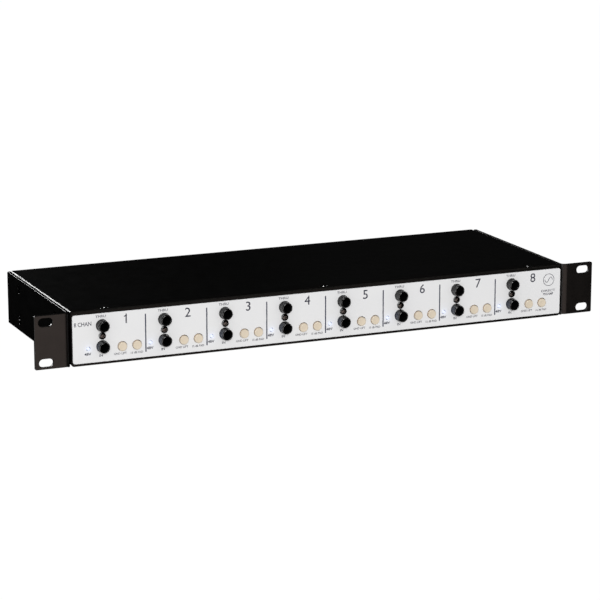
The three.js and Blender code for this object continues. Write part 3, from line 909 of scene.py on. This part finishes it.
def lettering(name, words, centre, size, material, bold, face="front"):
    """Printed words centred at (x, z), of (width, height); a width of 0 keeps their shape."""
    curve = bpy.data.curves.new(name, "FONT")
    curve.body = words
    curve.size = size[1] / CAPITAL
    curve.offset = bold
    curve.extrude = INK / 2
    curve.resolution_u = 3
    mesh = realised(in_scene(name, curve))
    bpy.data.curves.remove(curve)
    low = Vector(min(v.co[i] for v in mesh.vertices) for i in range(3))
    high = Vector(max(v.co[i] for v in mesh.vertices) for i in range(3))
    tall = size[1] / (high.y - low.y)
    wide = size[0] / (high.x - low.x) if size[0] else tall
    centred = Matrix.Translation(-(low + high) / 2)
    mesh.transform(Matrix.Diagonal((wide, tall, 1, 1)) @ centred)
    stand = Matrix.Rotation(math.radians(90), 4, "X")
    turn = Matrix.Rotation(math.pi, 4, "Z") if face == "rear" else Matrix.Identity(4)
    y = FRONT - INK / 2 if face == "front" else REAR + INK / 2
    mesh.transform(Matrix.Translation((centre[0], y, centre[1])) @ turn @ stand)
    piece(name, mesh, material, "printing_ink", sharp=30)


def printed(name, outline, holes, material):
    """A printed shape drawn in X and Z on the front of the label."""
    made = stand_up(plate(name, outline, holes, INK, 0.004 * MM), FRONT - INK)
    piece(name, made, material, "printing_ink")


def stroke(points, width):
    """The outline of a line of even width through points."""
    left, right = [], []
    for i, point in enumerate(points):
        before, after = points[max(i - 1, 0)], points[min(i + 1, len(points) - 1)]
        run = (Vector(after) - Vector(before)).normalized() * width / 2
        left.append((point[0] - run.y, point[1] + run.x))
        right.append((point[0] + run.y, point[1] - run.x))
    return left + right[::-1]


def emblem(x, z):
    """A plain ring with one wave of a sine across it."""
    printed("emblem_ring", circle(x, z, 5.2 * MM), [circle(x, z, 4.7 * MM)], GREY_INK)
    steps = [i / 12 for i in range(-12, 13)]
    wave = [(x + 3.6 * MM * t, z + 2.1 * MM * math.sin(math.pi * t)) for t in steps]
    printed("emblem_wave", stroke(wave, 0.55 * MM), [], GREY_INK)


def printing():
    bold = 0.05 * MM
    for c in CHANNELS:
        x = JACK_X[c]

        def caption(name, words, dx, z, wide, tall, ink=GREY_INK, heavy=bold):
            at = (x + dx * MM, z * MM)
            lettering(f"{name}_{c}", words, at, (wide * MM, tall * MM), ink, heavy)

        caption("thru_caption", "THRU", -1.0, 38.1, 8.4, 1.9)
        caption("in_caption", "IN", -1.2, 7.2, 2.7, 1.9, DARK_INK)
        caption("lamp_caption", "48V", -11.8, 9.2, 5.5, 2.2, DARK_INK, 0.08 * MM)
        caption("lift_caption", "GND LIFT", 14.4, 7.2, 10.4, 1.7)
        caption("pad_caption", "15 dB PAD", 27.9, 6.8, 9.9, 1.7)
        wide = 1.05 if c == 1 else 0
        heavy = 0 if c == 4 else 0.03 * MM  # a heavier 4 would close up
        caption("number", str(c), 19.6, 34.5, wide, 7.4, DARK_INK, heavy)
        number = (x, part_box("rear_panel")[1].z - 3.2 * MM)
        lettering(f"output_number_{c}", str(c), number, (0, 2.4 * MM), WHITE_INK, 0, "rear")
        if c == 1:
            bends = (17.9, 36.1), (19.3, 36.9), (19.6, 37.7)
            flag = [(x + dx * MM, z * MM) for dx, z in bends]
            printed("number_1_flag", stroke(flag, 0.7 * MM), [], DARK_INK)
        else:
            left, right = x - 15.7 * MM, x - 14.7 * MM
            bar = rounded_outline(left, right, 6.4 * MM, 36.6 * MM, 0.3 * MM, 3)
            printed(f"divider_{c - 1}", bar, [], LINE_INK)
    place, size = (-203 * MM, 33 * MM), (14 * MM, 3.3 * MM)
    lettering("size_mark", "8 CHAN", place, size, DARK_INK, bold)
    emblem(200.5 * MM, 31.5 * MM)
    for line, (words, wide) in enumerate((("DIRECT", 13), ("PREAMP", 9.5))):
        at = (200.3 * MM, (22.4 - 2.8 * line) * MM)
        size = (wide * MM, 1.9 * MM)
        lettering(f"front_words_{line + 1}", words, at, size, GREY_INK, bold)


# ---------------------------------------------------------------- rear connectors
def outputs():
    """Male three-pin connectors: a die-cast flange, a cup, an insert and nickel pins."""
    low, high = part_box("xlr_output_1")
    rim, face = high.y, REAR + 0.3 * MM
    z = (low.z + high.z) / 2
    half_x, half_z = (high.x - low.x) / 2, (high.z - low.z) / 2
    outline = rounded_outline(-half_x, half_x, -half_z, half_z, 2 * MM)
    holes = [circle(0, 0, 9.7 * MM, 64)]
    across, up = OUTPUT_SCREW
    holes += [circle(-k * across, k * up, 2.35 * MM, 24) for k in (-1, 1)]
    flange = stand_up(plate("flange", outline, holes, rim - face, 0.3 * MM), face)
    depth = 13.5 * MM
    cup = [(0, 9.5), (0, 10.6), (-0.4, 10.9), (-1.4, 10.9), (-1.4, 11.6)]
    cup = [(along * MM, radius * MM) for along, radius in cup]
    cup += [(-21 * MM, 11.6 * MM), (-21.5 * MM, 11.1 * MM), (-21.5 * MM, 0)]
    inner = [(-depth, 0), (-depth, 9.3 * MM), (-0.3 * MM, 9.3 * MM)]
    cup_mesh = turned("cup", inner + cup, "y", 64)
    pin_profile = [(11.9, 0), (11.75, 0.5), (11.3, 0.95), (10.6, 1.15), (0, 1.15), (0, 0)]
    pin = turned("pin", [(a * MM, r * MM) for a, r in pin_profile], "y", 24)
    for c in CHANNELS:
        x = JACK_X[c]
        own = copy_at(flange, (x, 0, z))
        made = piece(f"output_flange_{c}", own, DIE_CAST, "die_cast_black")
        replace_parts(made, f"xlr_output_{c}")
        own = copy_at(cup_mesh, (x, rim, z))
        piece(f"output_cup_{c}", own, DIE_CAST, "die_cast_black", sharp=40)
        pins = [circle(x, z, 4 * MM, 12)[at] for at in (1, 5, 9)]  # a third of a turn apart
        for i, (pin_x, pin_z) in enumerate(pins, 1):
            own = copy_at(pin, (pin_x, rim - depth, pin_z))
            piece(f"output_pin_{c}_{i}", own, NICKEL, "contact_metal", sharp=40)


# ---------------------------------------------------------------- inside
BOARD_TOP = 5.6 * MM
SOLDER = 0.05 * MM  # what a component stands off the board


def on_board(name, x, y, mesh, material):
    mesh.transform(Matrix.Translation((x, y, BOARD_TOP + SOLDER)))
    piece(name, mesh, material, "switch_moulding", sharp=40)


def capacitor(radius, height):
    """A sleeved can with a crimp near its foot; heights in millimetres."""
    profile = [(0, 0), (0, 0.95), (1.2, 1), (1.7, 0.9), (2.2, 1), (height - 0.5, 1)]
    profile += [(height, 0.88), (height - 0.15, 0.8), (height - 0.15, 0)]
    return turned("can", [(z * MM, share * radius * MM) for z, share in profile], "z", 32)


def resistor():
    """An axial body with bulged ends, and its two leads bent down to the board."""
    body = [(-3.1, 0), (-3.1, 0.7), (-2.8, 1.1), (-2.0, 1.1), (-1.7, 0.95)]
    profile = body + [(-along, radius) for along, radius in body[::-1]]
    axis_height = 1.6
    bm = bmesh.new()
    revolve(bm, [(a * MM, r * MM) for a, r in profile], (0, 0, axis_height * MM), "x", 20)
    for side in (-1, 1):
        rows = []
        for along, height in ((3.0, axis_height), (4.2, axis_height), (4.6, 1.2), (4.6, 0)):
            level = height == axis_height
            row = []
            for u, v in SQUARE:
                u, v = u * 0.25, v * 0.25
                x, z = (along, height + u) if level else (along + u, height)
                row.append(Vector((side * x, v, z)) * MM)
            rows.append(row)
        closed_skin(bm, rows)
    return mesh_of(bm, "resistor")


def chip():
    """An eight-legged package."""
    start, end = (-4.9 * MM, -3.2 * MM, 0.6 * MM), (4.9 * MM, 3.2 * MM, 4 * MM)
    bm = bmesh.new()
    bm.from_mesh(box_mesh("chip", start, end, 0.25 * MM))
    pitch, leg_size = 2.54 * MM, Vector((0.9, 0.4, 2.6)) * MM
    for i in range(4):
        for side in (-1, 1):
            middle_of_leg = Vector(((i - 1.5) * pitch, side * 3.6 * MM, 1.3 * MM))
            for vert in bmesh.ops.create_cube(bm, size=1)["verts"]:
                vert.co = middle_of_leg + vert.co * leg_size
    return mesh_of(bm, "chip")


def transformer(c):
    """A stack of laminations across a taped winding on its bobbin."""
    x = JACK_X[c]
    node = f"output_transformer_{c}"
    low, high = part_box(node)
    sheets, depth = 12, 9 * MM
    step = depth / sheets
    bm = bmesh.new()
    for i in range(sheets):
        y = -depth / 2 + i * step
        start, end = (x - 11 * MM, y, low.z), (x + 11 * MM, y + step * 0.86, high.z)
        sheet = box_mesh("sheet", start, end, 0.08 * MM)
        bm.from_mesh(sheet)
        bpy.data.meshes.remove(sheet)
    made = piece(f"transformer_core_{c}", mesh_of(bm, "core"), STEEL, "transformer_steel")
    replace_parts(made, node)

    def block(name, side, half, near, far, bottom, top, bevel, material, slot):
        """A block beside the core, near to far from its middle; sizes in millimetres."""
        face = -1 if side == "front" else 1
        y0, y1 = sorted((face * near * MM, face * far * MM))
        start = (x - half * MM, y0, low.z + bottom * MM)
        mesh = box_mesh(name, start, (x + half * MM, y1, top * MM), bevel * MM)
        piece(f"transformer_{name}_{side}_{c}", mesh, material, slot)

    for side in ("front", "rear"):
        block("tape", side, 6.4, 4.6, 8.2, 2, 22.4, 1.6, TAPE, "transformer_steel")
        block("cheek", side, 7, 8.3, 9, 1.6, 23, 0.3, SWITCH, "switch_moulding")


def inside():
    sheet = from_node("main_board", 0.1 * MM)
    made = piece("main_board_laminate", sheet, BOARD, "circuit_board")
    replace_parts(made, "main_board")
    for i in range(1, 5):
        materials = frame["nodes"][f"board_standoff_{i}"].data.materials
        materials.clear()
        materials.append(BRASS)
    for c in CHANNELS:
        x = JACK_X[c]
        node = f"switch_pair_{c}"
        made = piece(f"switches_{c}", from_node(node, 0.3 * MM), SWITCH, "switch_moulding")
        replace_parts(made, node)
        transformer(c)
        for i, dx in enumerate((17, 28), 1):
            can = capacitor(3.9, 11)
            on_board(f"capacitor_{c}_{i}", x + dx * MM, -24 * MM, can, SLEEVE)
        start, end = (-3.6 * MM, -1.25 * MM, 0), (3.6 * MM, 1.25 * MM, 6.5 * MM)
        film = box_mesh("film", start, end, 0.3 * MM)
        on_board(f"film_capacitor_{c}", x, -36 * MM, film, TAPE)
        between_buttons = x + 22.5 * MM
        on_board(f"amplifier_chip_{c}", between_buttons, -42 * MM, chip(), SWITCH)
        for i in range(4):
            y = (-2 + 6 * i) * MM
            on_board(f"resistor_{c}_{i + 1}", between_buttons, y, resistor(), RESISTOR)


# ---------------------------------------------------------------- making it
make_camera()
make_light()
make_floor()
side_plate("left_side_plate", -1)
side_plate("right_side_plate", 1)
top_cover()
folded_cases()
label_plate()
fasteners()
jacks()
buttons()
lamps()
printing()
outputs()
inside()

bpy.context.view_layer.update()
